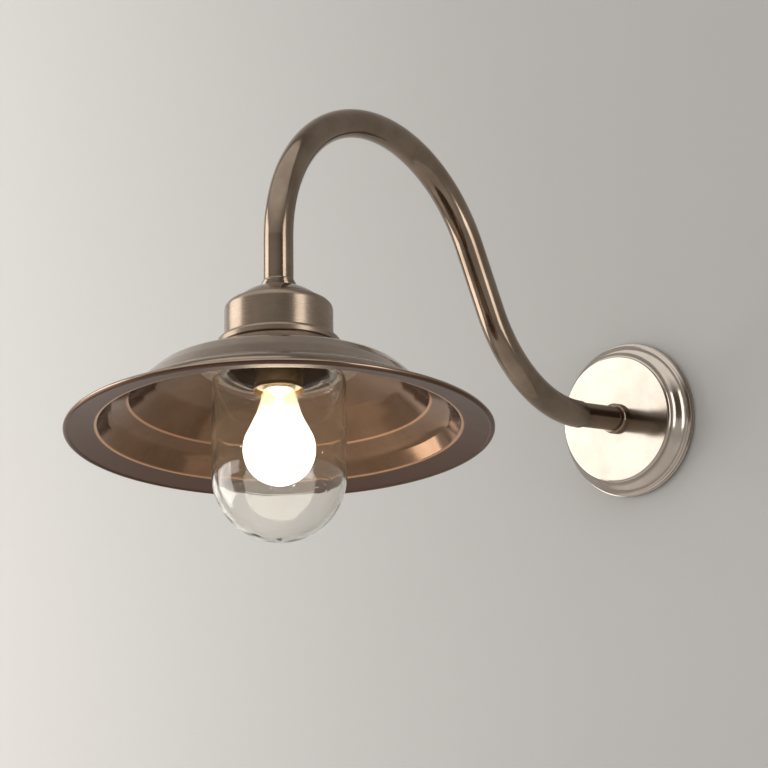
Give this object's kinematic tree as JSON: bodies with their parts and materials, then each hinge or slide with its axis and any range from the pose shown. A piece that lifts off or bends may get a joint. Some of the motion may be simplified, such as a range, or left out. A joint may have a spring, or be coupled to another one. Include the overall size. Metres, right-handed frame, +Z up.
{
  "type": "wall light",
  "caption": "Swan-neck wall light: round rose, bent tube arm, stepped spun shade and a clear glass jar screwed over a screw-cap bulb.",
  "frame": {"origin": "middle of the wall bracket's back, on the wall plane, midway between the two screw slots", "axes": "+Z up, +Y into the wall, the arm and lamp stand out along -Y, X along the wall"},
  "size_m": [0.3534, 0.6972, 0.3886],
  "materials": {
    "aged_nickel": "polished aged nickel",
    "brushed_nickel": "finely turned aged nickel",
    "shade_metal": "polished outside, warm brown inside",
    "zinc_steel": "zinc-plated steel",
    "gold_metal": "gold-brown lacquered metal",
    "bright_brass": "plain brass",
    "clear_glass": "clear, slightly uneven",
    "opal_glass": "warm white",
    "stem_glass": "clear",
    "black_rubber": "matt",
    "ceramic": "glazed white",
    "black_insulator": "glossy black",
    "cable_sheath": "white",
    "core_copper": "insulated cores",
    "filament": "glowing strands"
  },
  "bodies": {
    "fixture": {"wall_bracket": "zinc_steel", "stub_washer": "zinc_steel", "stub_front_nut": "zinc_steel", "stub_rear_nut": "zinc_steel", "wall_gasket": "black_rubber", "rose_cover": "aged_nickel", "rose_lock_ring": "aged_nickel", "arm_stub": "aged_nickel", "terminal_block": "cable_sheath", "terminal_screws": "bright_brass", "earth_screw": "bright_brass", "earth_nut": "bright_brass", "swan_neck_arm": "aged_nickel", "inner_flex": "cable_sheath", "core_wires": "core_copper", "head_body": "brushed_nickel", "shade_gasket": "black_rubber", "dome_cap": "aged_nickel", "head_collar": "aged_nickel", "arm_end_bush": "bright_brass", "hollow_nipple": "zinc_steel", "head_locknut": "zinc_steel", "holder_locknut": "zinc_steel", "shade": "shade_metal", "shade_clamp_ring": "aged_nickel", "holder_cap": "gold_metal", "holder_shell": "gold_metal", "holder_insert": "ceramic", "screw_shell": "bright_brass", "centre_contact": "bright_brass"},
    "jar_ring": {"jar_gasket": "black_rubber"},
    "jar": {"glass_jar": "clear_glass"},
    "bulb_tip": {"bulb_contact": "zinc_steel"},
    "bulb": {"bulb_envelope": "opal_glass", "bulb_cap": "zinc_steel", "bulb_insulator": "black_insulator", "bulb_stem": "stem_glass", "bulb_filaments": "filament"}
  },
  "joints": [
    {"name": "jar_lower", "type": "slide", "parent": "fixture", "child": "jar_ring", "axis": [0, -0.1736, -0.9848], "range_m": [0, 0.0121]},
    {"name": "jar_unscrew", "type": "hinge", "parent": "jar_ring", "child": "jar", "pos_m": [0, -0.52368, -0.0489], "axis": [0, -0.1736, -0.9848], "range_deg": [0, 720]},
    {"name": "bulb_lower", "type": "slide", "parent": "fixture", "child": "bulb_tip", "axis": [0, -0.1736, -0.9848], "range_m": [0, 0.0182]},
    {"name": "bulb_unscrew", "type": "hinge", "parent": "bulb_tip", "child": "bulb", "pos_m": [0, -0.52368, -0.0489], "axis": [0, -0.1736, -0.9848], "range_deg": [0, 1800]}
  ],
  "couplings": [
    {"joint": "jar_lower", "follows": "jar_unscrew", "m_per_rad": 0.00095493},
    {"joint": "bulb_lower", "follows": "bulb_unscrew", "m_per_rad": 0.00057614}
  ]
}
